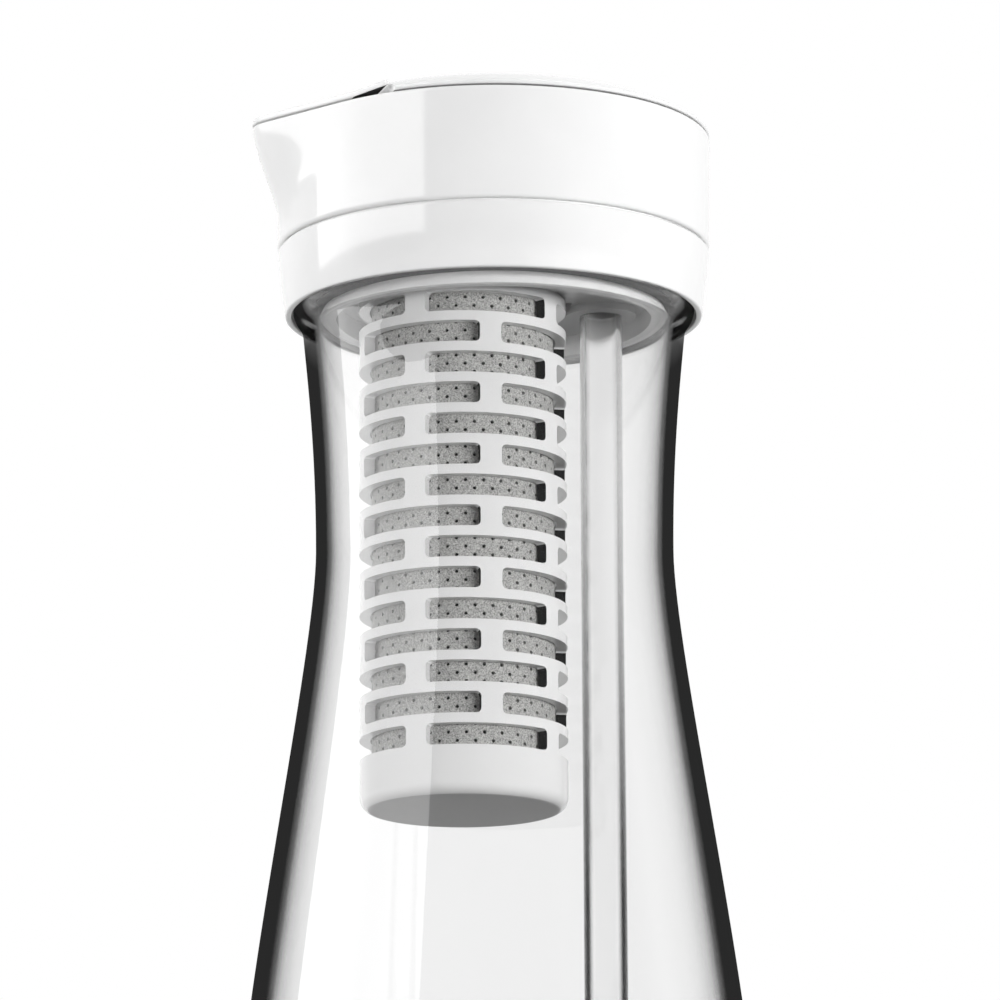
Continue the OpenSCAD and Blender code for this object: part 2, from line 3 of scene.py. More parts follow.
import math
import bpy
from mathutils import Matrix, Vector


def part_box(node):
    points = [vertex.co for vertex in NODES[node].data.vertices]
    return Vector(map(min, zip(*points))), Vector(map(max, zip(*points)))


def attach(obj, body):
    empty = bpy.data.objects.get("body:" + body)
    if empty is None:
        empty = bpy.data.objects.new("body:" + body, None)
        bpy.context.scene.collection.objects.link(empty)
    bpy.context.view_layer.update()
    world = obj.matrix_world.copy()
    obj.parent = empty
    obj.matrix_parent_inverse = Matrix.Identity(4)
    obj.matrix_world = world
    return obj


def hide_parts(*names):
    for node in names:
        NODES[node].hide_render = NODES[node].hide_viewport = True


bl_info = {
    "name": "Glass Filter Pitcher",
    "version": (1, 0, 0),
    "blender": (4, 5, 0),
    "location": "View3D > Sidebar > Pitcher",
    "description": "Builds a waisted glass filter pitcher with its lid, filter and vent tube",
    "category": "Add Mesh",
}

import bpy
from mathutils import Matrix, Vector

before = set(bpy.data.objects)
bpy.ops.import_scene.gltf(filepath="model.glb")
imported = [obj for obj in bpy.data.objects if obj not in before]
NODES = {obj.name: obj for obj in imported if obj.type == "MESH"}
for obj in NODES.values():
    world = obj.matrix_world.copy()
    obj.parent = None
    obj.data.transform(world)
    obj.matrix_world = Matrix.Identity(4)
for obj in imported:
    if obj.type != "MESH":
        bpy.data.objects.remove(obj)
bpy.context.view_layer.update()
MM = 0.001
SEAM_DROP = 0.0004
WHITE = (1, 1, 1, 1)
BLACK = (0, 0, 0, 1)
# Near-black colour painted onto faces that are marked as lying in shade
PAINTED_SHADE_COLOUR = (0.004, 0.004, 0.004, 1)
CAMERA_TURN = math.radians(-16)
TOWARDS_CAMERA = Matrix.Rotation(CAMERA_TURN, 3, "Z") @ Vector((0, -1, 0))


def node_low(name):
    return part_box(name)[0]


def node_high(name):
    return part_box(name)[1]


def node_middle(name):
    return (node_low(name) + node_high(name)) / 2


# Sizes and colours


def length(name, description, default):
    return bpy.props.FloatProperty(
        name=name, description=description, default=default, unit="LENGTH", precision=5
    )


def colour(name, description, default):
    return bpy.props.FloatVectorProperty(
        name=name, description=description, default=default, subtype="COLOR", size=3, min=0, max=1
    )


class PitcherSizes(bpy.types.PropertyGroup):
    """Sizes of the pitcher"""

    glass_height: length("Glass height", "From the table to the lip's top", node_high("glass_carafe").z)
    belly_radius: length("Belly radius", "Widest radius of the glass", node_high("glass_carafe").x)
    belly_height: length("Belly height", "Height of the widest part", 0.024)
    waist_radius: length("Waist radius", "Outer radius of the glass at the waist", 0.040)
    waist_height: length("Waist height", "Height of the waist", 0.163)
    neck_wall: length("Neck wall", "Glass thickness in the neck", 0.0034)
    body_wall: length("Body wall", "Glass thickness in the body", 0.0039)
    lip_radius: length("Lip radius", "Outer radius of the flared lip", 0.0452)
    collar_low: length("Collar foot", "Height of the collar's lower edge", node_low("lid_collar").z)
    collar_high: length("Collar top", "Height of the seam over it", node_high("lid_collar").z - SEAM_DROP)
    shell_low: length("Shell foot", "Height of the shell's lower edge", 0.2323)
    rim_height: length("Rim height", "Height of the shell's rim", node_high("lid_shell").z)
    rim_radius: length("Rim radius", "Radius of the shell at its rim", 0.0491)
    spout_reach: length("Spout reach", "How far the spout stands out from the rim", 0.0069)
    cover_rise: length("Cover rise", "Rise of the pillow-shaped cover above its edge", 0.0071)
    flap_thickness: length("Flap thickness", "Thickness of the spout flap", 0.0013)
    filter_x: length("Filter place", "Place of the filter's axis along X", -0.0073)
    basket_radius: length("Basket radius", "Outer radius of the filter basket", 0.0232)
    basket_wall: length("Basket wall", "Thickness of the basket", 0.0024)
    slot_height: length("Slot height", "Height of a slot in the basket", 0.0048)
    slot_pitch: length("Slot pitch", "Distance from one row of slots to the next", 0.007)
    sleeve_radius: length("Sleeve radius", "Outer radius of the filter sleeve", 0.0203)
    hole_radius: length("Sleeve hole", "Radius of a perforation in the sleeve", 0.00042)
    hole_pitch: length("Sleeve hole pitch", "Distance from one row of perforations to the next", 0.00187)
    tube_x: length("Tube place", "Place of the vent tube's axis along X", node_middle("vent_tube").x)
    tube_radius: length("Tube radius", "Outer radius of the vent tube", node_high("vent_tube").y)
    tube_wall: length("Tube wall", "Thickness of the vent tube", 0.0014)


class PitcherColours(bpy.types.PropertyGroup):
    """Colours of the pitcher and its stage"""

    # Painted shades: the glass and its lip are drawn darker where their wall is seen edge-on, standing in for
    # dark surroundings refracted there
    painted_glass_edge_shade: colour("Glass edge", "Tint of the glass seen along its wall", (0.15, 0.15, 0.15))
    painted_lip_edge_shade: colour("Lip edge", "Tint of the lip seen along its wall", (0.5, 0.5, 0.5))
    # Painted shade: the tube is drawn darker along its flanks, standing in for dark surroundings refracted
    # there
    painted_tube_flank_shade: colour("Tube flank", "Tint of the tube seen along its wall", (0.25, 0.25, 0.25))
    lid: colour("Lid", "White moulding of the lid", (0.84, 0.84, 0.84))
    basket: colour("Basket", "White moulding of the basket", (0.86, 0.86, 0.86))
    base: colour("Lid base", "Moulding of the lid's inner parts", (0.7, 0.7, 0.7))
    sleeve: colour("Sleeve", "Fleece of the filter sleeve", (0.40, 0.40, 0.39))
    carbon: colour("Carbon", "Filter medium", (0.018, 0.018, 0.018))
    silicone: colour("Silicone", "White plug seal", (0.90, 0.90, 0.90))
    grey_silicone: colour("Grey silicone", "Grommet, pad and inner seal", (0.7, 0.7, 0.7))
    rubber: colour("Rubber", "Rings and cover gasket", (0.14, 0.14, 0.14))
    steel: colour("Steel", "Hinge pin and outlet screen", (0.56, 0.57, 0.58))
    floor: colour("Floor", "Pale floor", (0.86, 0.86, 0.86))


def sizes():
    return bpy.context.scene.pitcher_sizes


def colours():
    return bpy.context.scene.pitcher_colours


def mm(*names):
    """Sizes by their names, in millimetres."""
    return [getattr(sizes(), name) / MM for name in names]


def span(node):
    """Lowest and highest height of a CAD node, in millimetres."""
    return node_low(node).z / MM, node_high(node).z / MM


# Modelling by hand


def deselect():
    bpy.ops.object.select_all(action="DESELECT")


def edit():
    bpy.ops.object.mode_set(mode="EDIT")


def leave():
    bpy.ops.object.mode_set(mode="OBJECT")


def select_mesh():
    bpy.ops.mesh.select_all(action="SELECT")


def pull_up(height):
    """Extrudes the selected part of a mesh upwards, in metres."""
    bpy.ops.mesh.extrude_region_move(TRANSFORM_OT_translate={"value": (0, 0, height)})


def cut_across(x, **settings):
    """Cuts the whole mesh with a plane across X, in metres."""
    select_mesh()
    bpy.ops.mesh.bisect(plane_co=(x, 0, 0), plane_no=(1, 0, 0), **settings)


def settle():
    """Applies the place and scale of the object that was added last."""
    bpy.ops.object.transform_apply(location=True, rotation=True, scale=True)


def name_new(name):
    """Names the object that was added last."""
    piece = bpy.context.object
    piece.name = piece.data.name = name
    return piece


def begin(name):
    """Starts a piece as one vertex at the origin, in edit mode."""
    deselect()
    bpy.ops.mesh.primitive_plane_add(size=0.01)
    piece = name_new(name)
    edit()
    bpy.ops.mesh.select_mode(type="VERT")
    select_mesh()
    bpy.ops.mesh.merge(type="CENTER")
    return piece


def draw(points):
    """Moves the vertex to the first point and extrudes it from point to point, in millimetres."""
    here = Vector((0, 0, 0))
    for i, point in enumerate(points):
        there = Vector(point) * MM
        if i == 0:
            bpy.ops.transform.translate(value=there - here)
        else:
            bpy.ops.mesh.extrude_vertices_move(TRANSFORM_OT_translate={"value": there - here})
        here = there


def face_outwards():
    select_mesh()
    bpy.ops.mesh.normals_make_consistent(inside=False)


def close_up(threshold=1e-6):
    """Merges the doubles and turns all the faces outwards."""
    select_mesh()
    bpy.ops.mesh.remove_doubles(threshold=threshold)
    face_outwards()


def lathe(name, outline, steps=144, x=0.0, closed=True):
    """A turned piece: an outline of (radius, height) in millimetres, spun round a vertical axis."""
    piece = begin(name)
    line = outline + outline[:1] if closed else outline
    draw([(r, 0, z) for r, z in line])
    select_mesh()
    bpy.ops.mesh.spin(steps=steps, angle=2 * math.pi, center=(0, 0, 0), axis=(0, 0, 1))
    select_mesh()
    bpy.ops.transform.translate(value=(x, 0, 0))
    close_up()
    leave()
    return piece


def only(piece):
    """Makes one piece the selected and active one."""
    deselect()
    piece.select_set(True)
    bpy.context.view_layer.objects.active = piece


def pick(piece, test, kind="vertices"):
    """Selects in edit mode the vertices, edges or faces that the test holds for."""
    bpy.ops.mesh.select_all(action="DESELECT")
    bpy.ops.mesh.select_mode(type={"vertices": "VERT", "edges": "EDGE", "polygons": "FACE"}[kind])
    leave()
    for part in getattr(piece.data, kind):
        part.select = bool(test(part))
    edit()


def drop_faces(piece, test):
    """Deletes the faces that the test holds for."""
    only(piece)
    edit()
    pick(piece, test, "polygons")
    bpy.ops.mesh.delete(type="FACE")
    leave()


def open_sides(piece, width, height):
    """Opens the four sides of a flat cell, in edit mode, so that it meets its neighbours."""
    x, y = width / 2 - 1e-6, height / 2 - 1e-6
    sides = (lambda p: p.x > x, lambda p: p.x < -x, lambda p: p.y > y, lambda p: p.y < -y)

    def on_side(face):
        points = [piece.data.vertices[v].co for v in face.vertices]
        return any(all(beyond(p) for p in points) for beyond in sides)

    pick(piece, on_side, "polygons")
    bpy.ops.mesh.delete(type="ONLY_FACE")


def apply_modifier(piece, name, kind, **settings):
    only(piece)
    modifier = piece.modifiers.new(name, kind)
    for key, value in settings.items():
        setattr(modifier, key, value)
    bpy.ops.object.modifier_apply(modifier=modifier.name)


def combine(piece, name, operation, tool):
    """Joins, trims or cuts a piece with a tool, and removes the tool."""
    apply_modifier(piece, name, "BOOLEAN", operation=operation, object=tool, solver="EXACT")
    bpy.data.objects.remove(tool)


def soften(piece, width, segments, degrees):
    """Bevels the edges that are sharper than an angle."""
    apply_modifier(
        piece, "Soft edges", "BEVEL", width=width, segments=segments, limit_method="ANGLE",
        angle_limit=math.radians(degrees),
    )


def repeat(piece, count, step):
    """Repeats a piece along a step."""
    apply_modifier(
        piece, "Repeat", "ARRAY", count=count, use_relative_offset=False, use_constant_offset=True,
        constant_offset_displace=step,
    )


def wrap(piece, thickness, height, radius, around, turn_by=0.0):
    """Stands a flat sheet upright, bends it round a vertical axis and turns it by some degrees."""
    piece.data.transform(Matrix.Rotation(math.radians(90), 4, "X"))
    piece.data.transform(Matrix.Translation((0, thickness, height)))
    xs = [v.co.x for v in piece.data.vertices]
    turn = (max(xs) - min(xs)) / radius
    apply_modifier(piece, "Wrap", "SIMPLE_DEFORM", deform_method="BEND", deform_axis="Z", angle=turn)
    edit()
    select_mesh()
    bpy.ops.transform.translate(value=(0, -radius, 0))
    leave()
    turned = Matrix.Rotation(math.radians(turn_by), 4, "Z")
    piece.data.transform(Matrix.Translation((around, 0, 0)) @ turned)
    edit()
    close_up(2e-6)
    leave()


def shade(piece, amount):
    """Marks how dark each face is drawn, as painted shade for the material to read."""
    only(piece)
    # Painted shade: each face gets an amount of darkness by its direction or height
    bpy.ops.geometry.attribute_add(name="shade", domain="FACE", data_type="FLOAT")
    values = piece.data.attributes["shade"].data
    for face in piece.data.polygons:
        values[face.index].value = amount(face)


def join(piece, *others):
    """Joins other pieces into the first one."""
    only(piece)
    for other in others:
        other.select_set(True)
    bpy.ops.object.join()


def seat(piece, body, node, material, degrees=35):
    """Gives a finished piece its shading and material, puts it on its body and hides its CAD node."""
    only(piece)
    bpy.ops.object.shade_smooth_by_angle(angle=math.radians(degrees))
    piece.data.materials.clear()
    piece.data.materials.append(material)
    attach(piece, body)
    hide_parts(node)


# Outlines


def clamp(value):
    return min(1, max(0, value))


def curve(start, start_pull, end_pull, end, steps):
    """Points of a cubic curve."""
    points = (start, start_pull, end_pull, end)
    out = []
    for i in range(steps + 1):
        t = i / steps
        u = 1 - t
        weights = (u**3, 3 * t * u * u, 3 * t * t * u, t**3)
        out.append(tuple(sum(w * p[axis] for w, p in zip(weights, points)) for axis in (0, 1)))
    return out


def fillet(corner, before, after, radius, steps=3):
    """Rounds the corner of an outline between its two neighbours."""
    c, a, b = Vector(corner), Vector(before), Vector(after)
    start, end = c + (a - c).normalized() * radius, c + (b - c).normalized() * radius
    shares = [i / steps for i in range(steps + 1)]
    return [tuple(start.lerp(c, t).lerp(c.lerp(end, t), t)) for t in shares]


def rounded(outline, radii):
    """An outline with the corners rounded that have a radius."""
    out = []
    for i, corner in enumerate(outline):
        radius = radii.get(i, 0)
        if radius:
            out += fillet(corner, outline[i - 1], outline[(i + 1) % len(outline)], radius)
        else:
            out.append(corner)
    return out


def tear(radius, reach, nose, angle):
    """Radius of a circle with a round nose that reaches further out, at an angle away from the nose."""
    if reach <= radius + 0.01:
        return radius
    middle = reach - nose
    off_circle = math.acos((radius - nose) / middle)
    on_nose = math.atan2(nose * math.sin(off_circle), middle + nose * math.cos(off_circle))
    if angle >= off_circle:
        return radius
    if angle >= on_nose:
        return radius / math.cos(off_circle - angle)
    return middle * math.cos(angle) + math.sqrt(nose * nose - (middle * math.sin(angle)) ** 2)


def lid_radius(z, inset, angle):
    """Radius of the shell with its spout at a height, in millimetres, at an angle away from the spout."""
    foot, rim, rim_radius, reach = mm("shell_low", "rim_height", "rim_radius", "spout_reach")
    flare, spout_start, nose, blunter = 0.3, 2.5, 8, 10
    wall = rim_radius - flare * (1 - clamp((z - foot) / (rim - foot)))
    t = clamp((z - foot - spout_start) / (rim - foot - spout_start))
    out = reach * (0.5 * t + 0.5 * t * t * (3 - 2 * t))
    return tear(wall - inset, wall + out - inset, nose + blunter * (1 - t) - inset, angle)


def plan_angles():
    """Angles round the lid in degrees, closest together at the nose of the spout."""
    near = [0.5 * i for i in range(13)] + [6 + 1.5 * i for i in range(1, 24)]
    near += [42 + 3 * i for i in range(46)]
    return sorted(set(near) | {-a for a in near})


def dome(radius):
    """Height of the cover's pillow-shaped top at a distance from the axis, in millimetres."""
    rim_z, rim, rise = mm("rim_height", "rim_radius", "cover_rise")
    edge = 1.2
    return rim_z + edge + rise * (1 - (radius / rim) ** 4)


# Shader nodes


class Wiring:
    """Places the nodes of one node tree and links them."""

    def __init__(self, tree):
        self.tree = tree

    def fill(self, node, inputs):
        """Links or sets inputs of a node, by name or number."""
        for label, value in inputs.items():
            if isinstance(value, bpy.types.NodeSocket):
                self.tree.links.new(value, node.inputs[label])
            else:
                node.inputs[label].default_value = value

    def node(self, kind, inputs=None, **settings):
        node = self.tree.nodes.new(kind)
        for key, value in settings.items():
            setattr(node, key, value)
        self.fill(node, inputs or {})
        return node

    def group(self, tree, inputs):
        return self.node("ShaderNodeGroup", inputs, node_tree=tree).outputs

    def ray(self):
        return self.node("ShaderNodeLightPath").outputs

    def facing(self):
        """How far a surface turns away from the eye."""
        return self.node("ShaderNodeLayerWeight").outputs["Facing"]

    def place(self):
        """Place on the object, in metres."""
        return self.node("ShaderNodeTexCoord").outputs["Object"]

    def height(self):
        return self.node("ShaderNodeSeparateXYZ", {"Vector": self.place()}).outputs["Z"]

    def noise(self, place, scale, detail, roughness=0.5):
        inputs = {"Vector": place, "Scale": scale, "Detail": detail, "Roughness": roughness}
        return self.node("ShaderNodeTexNoise", inputs).outputs["Fac"]

    def distance(self, vector):
        """Distance from the origin."""
        return self.node("ShaderNodeVectorMath", {0: vector}, operation="LENGTH").outputs["Value"]

    def scale(self, vector, factor):
        inputs = {"Vector": vector, "Scale": factor}
        return self.node("ShaderNodeVectorMath", inputs, operation="SCALE").outputs["Vector"]

    def mix(self, factor, first, second):
        """A colour that goes from the first to the second."""
        inputs = {"Factor": factor, "A": first, "B": second}
        return self.node("ShaderNodeMix", inputs, data_type="RGBA").outputs["Result"]

    def calculate(self, operation, first, second):
        return self.node("ShaderNodeMath", {0: first, 1: second}, operation=operation).outputs["Value"]

    def spread(self, value, start, end, low=0.0, high=1.0):
        """Maps a value from one range to another."""
        inputs = {"Value": value, "From Min": start, "From Max": end, "To Min": low, "To Max": high}
        return self.node("ShaderNodeMapRange", inputs).outputs["Result"]

    def ramp(self, factor, shades):
        """A ramp of (factor, tint) pairs."""
        ramp = self.node("ShaderNodeValToRGB", {"Fac": factor})
        elements = ramp.color_ramp.elements
        for place, _ in shades[2:]:
            elements.new(place)
        for element, (place, tint) in zip(elements, shades):
            element.position = place
            element.color = (tint, tint, tint, 1)
        return ramp.outputs["Color"]

    def bump(self, shader, height, depth):
        relief = self.node("ShaderNodeBump", {"Distance": depth, "Strength": 1.0, "Height": height})
        self.fill(shader, {"Normal": relief.outputs["Normal"]})

    def see_through(self, shader, out, share, tone=WHITE):
        """Lets a share of the rays straight through a surface, in a tone."""
        way = self.node("ShaderNodeBsdfTransparent", {"Color": tone})
        inputs = {"Fac": share, 1: shader.outputs["BSDF"], 2: way.outputs["BSDF"]}
        mix = self.node("ShaderNodeMixShader", inputs)
        self.fill(out, {"Surface": mix.outputs["Shader"]})

    def lamps_through(self, shader, out, share, tone):
        """Lets the lamps through a clear wall untinted, and a share of the other rays in a tone."""
        shadow = self.ray()["Is Shadow Ray"]
        share = self.calculate("MAXIMUM", shadow, share)
        self.see_through(shader, out, share, self.mix(shadow, tone, WHITE))


def new_group(name, inputs, outputs):
    """A shader node group with its named sockets, its wiring, what it is given and where results go."""
    group = bpy.data.node_groups.new(name, "ShaderNodeTree")
    for label, default in inputs.items():
        kind = "NodeSocketColor" if isinstance(default, tuple) else "NodeSocketFloat"
        group.interface.new_socket(label, in_out="INPUT", socket_type=kind).default_value = default
    for label in outputs:
        kind = "NodeSocketColor" if label == "Colour" else "NodeSocketFloat"
        group.interface.new_socket(label, in_out="OUTPUT", socket_type=kind)
    wires = Wiring(group)
    return group, wires, wires.node("NodeGroupInput").outputs, wires.node("NodeGroupOutput")


def moulded_grain():
    """Fine moulded grain: roughness, height and a small change of shade for plastics and silicone."""
    name = "Moulded Grain"
    if name in bpy.data.node_groups:
        return bpy.data.node_groups[name]
    inputs = {
        "Colour": (0.8, 0.8, 0.8, 1),
        "Grain Scale": 2600.0,
        "Roughness Low": 0.25,
        "Roughness High": 0.35,
        "Shade": 0.97,
    }
    group, wires, given, made = new_group(name, inputs, ("Colour", "Roughness", "Height"))
    place = wires.place()
    grain = wires.noise(place, given["Grain Scale"], 2)
    flow = wires.noise(place, 60, 3)
    gloss = wires.spread(flow, 0.3, 0.7, given["Roughness Low"], given["Roughness High"])
    dimming = wires.spread(flow, 0.3, 0.7, given["Shade"], 1)
    tone = wires.scale(given["Colour"], dimming)
    wires.fill(made, {"Colour": tone, "Roughness": gloss, "Height": grain})
    return group


def fibre_speckle():
    """Pressed fibres and grains: a speckled colour and a height for fleece and carbon."""
    name = "Fibre Speckle"
    if name in bpy.data.node_groups:
        return bpy.data.node_groups[name]
    inputs = {"Colour": (0.4, 0.4, 0.39, 1), "Dark": 0.6, "Light": 1.4, "Grain Scale": 3000.0}
    group, wires, given, made = new_group(name, inputs, ("Colour", "Height"))
    grain = wires.noise(wires.place(), given["Grain Scale"], 4, 0.65)
    speckle = wires.spread(grain, 0.35, 0.65, given["Dark"], given["Light"])
    wires.fill(made, {"Colour": wires.scale(given["Colour"], speckle), "Height": grain})
    return group


# Materials


def reused(build):
    """Finds a material by its name before it is built anew."""

    def find(name, *details, **options):
        if name in bpy.data.materials:
            return bpy.data.materials[name]
        return build(name, *details, **options)

    return find


def new_material(name):
    """A fresh material with a Principled shader on its output."""
    material = bpy.data.materials.new(name)
    material.use_nodes = True
    material.node_tree.nodes.clear()
    wires = Wiring(material.node_tree)
    shader = wires.node("ShaderNodeBsdfPrincipled")
    out = wires.node("ShaderNodeOutputMaterial", {"Surface": shader.outputs["BSDF"]})
    return material, wires, shader, out


@reused
def moulding(name, tint, low, high, specular=0.5, shaded=False):
    """Moulded plastic or silicone, its roughness in a range, drawn dark where the mesh's painted shade says
    so.
    """
    material, wires, shader, _ = new_material(name)
    grain_depth = 0.000004
    inputs = {"Colour": (*tint, 1), "Roughness Low": low, "Roughness High": high}
    grain = wires.group(moulded_grain(), inputs)
    tone, rough = grain["Colour"], grain["Roughness"]
    # Painted shade: marked faces are mixed towards near-black and made rougher
    if shaded:
        mask = wires.node("ShaderNodeAttribute", attribute_name="shade").outputs["Fac"]
        tone = wires.mix(mask, tone, PAINTED_SHADE_COLOUR)
        rough = wires.calculate("MAXIMUM", rough, mask)
    wires.fill(shader, {"Base Color": tone, "Roughness": rough, "Specular IOR Level": specular})
    wires.bump(shader, grain["Height"], grain_depth)
    return material


@reused
def brushed(name, tint):
    """Bright drawn steel."""
    material, wires, shader, _ = new_material(name)
    grain_depth = 0.000002
    inputs = {"Colour": (*tint, 1), "Grain Scale": 4000, "Roughness Low": 0.22, "Roughness High": 0.34}
    grain = wires.group(moulded_grain(), inputs)
    wires.fill(shader, {"Base Color": grain["Colour"], "Roughness": grain["Roughness"], "Metallic": 1})
    wires.bump(shader, grain["Height"], grain_depth)
    return material


@reused
def pressed(name, tint, dark, light, scale, rough, depth):
    """Pressed fibres or grains, as of fleece and carbon."""
    material, wires, shader, _ = new_material(name)
    inputs = {"Colour": (*tint, 1), "Dark": dark, "Light": light, "Grain Scale": scale}
    speckle = wires.group(fibre_speckle(), inputs)
    wires.fill(shader, {"Base Color": speckle["Colour"], "Roughness": rough})
    wires.bump(shader, speckle["Height"], depth)
    return material


@reused
def clear_wall(name, shades, edge, painted_lip_edge_shade, lip_low, lip_high):
    """Clear glass with painted shade where its wall is seen edge-on, standing in for dark surroundings
    refracted there, and that lets the lamps through.

    The shades are (facing, painted shade) pairs for the side that the eye meets first. Past them the wall
    goes over to a plain painted edge shade, which changes to the lip's between two heights.
    """
    material, wires, shader, out = new_material(name)
    edge_starts, edge_full = 0.585, 0.67
    facing = wires.facing()
    first = wires.calculate("LESS_THAN", wires.ray()["Transmission Depth"], 0.5)
    tint = wires.mix(first, WHITE, wires.ramp(facing, shades))
    wires.fill(shader, {"Base Color": tint, "Roughness": 0.0, "IOR": 1.5, "Transmission Weight": 1.0})
    # Painted shade: edge-on parts of the outer wall let the rays through in a dark tone, lighter at the lip
    outer = wires.calculate("MULTIPLY", wires.spread(facing, edge_starts, edge_full), first)
    at_lip = wires.spread(wires.height(), lip_low, lip_high)
    wires.lamps_through(shader, out, outer, wires.mix(at_lip, (*edge, 1), (*painted_lip_edge_shade, 1)))
    return material


@reused
def clear_pipe(name, flank, low, high):
    """Clear drawn plastic with painted dark flanks, standing in for dark surroundings refracted there; flanks
    that fade, and plastic that turns a little dull, from one height to another.
    """
    material, wires, shader, out = new_material(name)
    s, skin = sizes(), 0.0004
    facing, height = wires.facing(), wires.height()
    inputs = {"Vector": wires.place(), "Location": (-s.tube_x, 0, 0), "Scale": (1, 1, 0)}
    radius = wires.distance(wires.node("ShaderNodeMapping", inputs).outputs["Vector"])
    bore = s.tube_radius - s.tube_wall
    share = wires.spread(radius, bore + skin, s.tube_radius - skin)
    # Painted shade: the share of rays let through in the dark flank tone, within the wall, on the flanks and
    # less higher up
    for part in (
        wires.spread(facing, 0.17, 0.36),
        wires.spread(facing, 0.5, 0.85, 1.0, 0.0),
        wires.spread(height, low, high, 1.0, 0.4),
    ):
        share = wires.calculate("MULTIPLY", share, part)
    dull = wires.spread(height, low, high, 0.0, 0.14)
    wires.fill(shader, {"Base Color": WHITE, "Roughness": dull, "IOR": 1.35, "Transmission Weight": 1.0})
    wires.lamps_through(shader, out, share, (*flank, 1))
    return material


def lid_white():
    return moulding("Lid White", colours().lid, 0.07, 0.11)


# Pieces


class PITCHER_OT_carafe(bpy.types.Operator):
    """Turns the waisted glass with its flared lip, thick wall and domed base"""

    bl_idname = "pitcher.carafe"
    bl_label = "Glass Carafe"

    def execute(self, context):
        top, belly, belly_z = mm("glass_height", "belly_radius", "belly_height")
        waist, waist_z, lip = mm("waist_radius", "waist_height", "lip_radius")
        neck_wall, body_wall = mm("neck_wall", "body_wall")
        lip_out, lip_tall, lip_turn, lip_wall = 2.3, 7.5, 5.5, 3.9
        foot, foot_width, floor, kick = 49.0, 6, 10.0, 4.0
        waist_pull, neck_pull, belly_pull = 24.0, 8, 35
        neck, lip_z = lip - lip_out, top - lip_tall
        inner, hollow = waist - neck_wall, belly - body_wall
        mouth, edge = neck - neck_wall, lip - lip_wall
        swell, bend, widest = foot + (belly - foot) * 0.75, belly_z + belly_pull, lip_z + lip_turn
        above, below = waist_z + waist_pull, waist_z - waist_pull
        # Each bend has a start, the pulls of start and end, an end and its number of steps
        bends = (
            ((foot, 0), (swell, 0), (belly, belly_z * 0.4), (belly, belly_z), 12),
            ((belly, belly_z), (belly, bend), (waist, below), (waist, waist_z), 32),
            ((waist, waist_z), (waist, above), (neck - 0.7, lip_z - neck_pull), (neck, lip_z), 16),
            ((neck, lip_z), (neck + 0.3, lip_z + 2.8), (lip - 0.4, lip_z + 3.45), (lip, widest), 10),
            ((lip, widest), (lip, lip_z + 6.7), (lip - 0.5, top), (lip - 1.4, top), 6),
            ((edge + 0.9, top), (edge + 0.4, top), (edge + 0.2, top - 0.2), (edge, top - 0.7), 4),
            ((edge, top - 0.7), (mouth + 0.7, top - 2.5), (mouth + 0.3, lip_z + 2.5), (mouth, lip_z), 8),
            ((mouth, lip_z), (mouth - 0.7, lip_z - neck_pull), (inner, above), (inner, waist_z), 16),
            ((inner, waist_z), (inner, below), (hollow, bend + 4), (hollow, belly_z + 4), 32),
            ((hollow, belly_z + 4), (hollow, floor + 4), (hollow - 8, floor), (hollow - 22, floor), 12),
            ((0, floor), (0, floor), (0, kick), (0, kick), 1),
            ((0, kick), (foot * 0.4, kick), (foot - 12, kick * 0.3), (foot - foot_width, 0), 10),
        )
        outline = []
        for *points, steps in bends:
            outline += [point for point in curve(*points, steps) if point not in outline[-1:]]
        piece = lathe("carafe_glass", outline, 192)
        # Painted shade: the glass is drawn darker the more edge-on it is seen, and its lip less dark
        shades = ((0.1, 0.86), (0.3, 0.78), (0.405, 0.68), (0.454, 0.57), (0.48, 0.48))
        shades += ((0.509, 0.36), (0.54, 0.25), (0.574, 0.08), (0.612, 0.005))
        lip_fade_low, lip_fade_high = 0.2085, 0.215
        c = colours()
        glass = clear_wall("Clear Glass", shades, c.painted_glass_edge_shade, c.painted_lip_edge_shade, lip_fade_low, lip_fade_high)
        seat(piece, "carafe", "glass_carafe", glass, 60)
        return {"FINISHED"}


class PITCHER_OT_lid_collar(bpy.types.Operator):
    """Turns the tapered ring under the shell"""

    bl_idname = "pitcher.lid_collar"
    bl_label = "Lid Collar"

    def execute(self, context):
        low, high, lip = mm("collar_low", "collar_high", "lip_radius")
        gap, foot_wall, top_out = 0.4, 1.4, 3.6
        groove_deep, groove_low, groove_high = 0.6, low + 3.2, low + 4.4
        inside, outside = lip + gap, lip + top_out
        outline = [
            (inside, low),
            (inside + foot_wall, low),
            (outside, high),
            (inside, high),
            (inside, groove_high),
            (inside + groove_deep, groove_high),
            (inside + groove_deep, groove_low),
            (inside, groove_low),
        ]
        piece = lathe("collar_ring", rounded(outline, {0: 0.3, 1: 0.45, 2: 0.9}), 160)
        seat(piece, "lid", "lid_collar", lid_white())
        return {"FINISHED"}


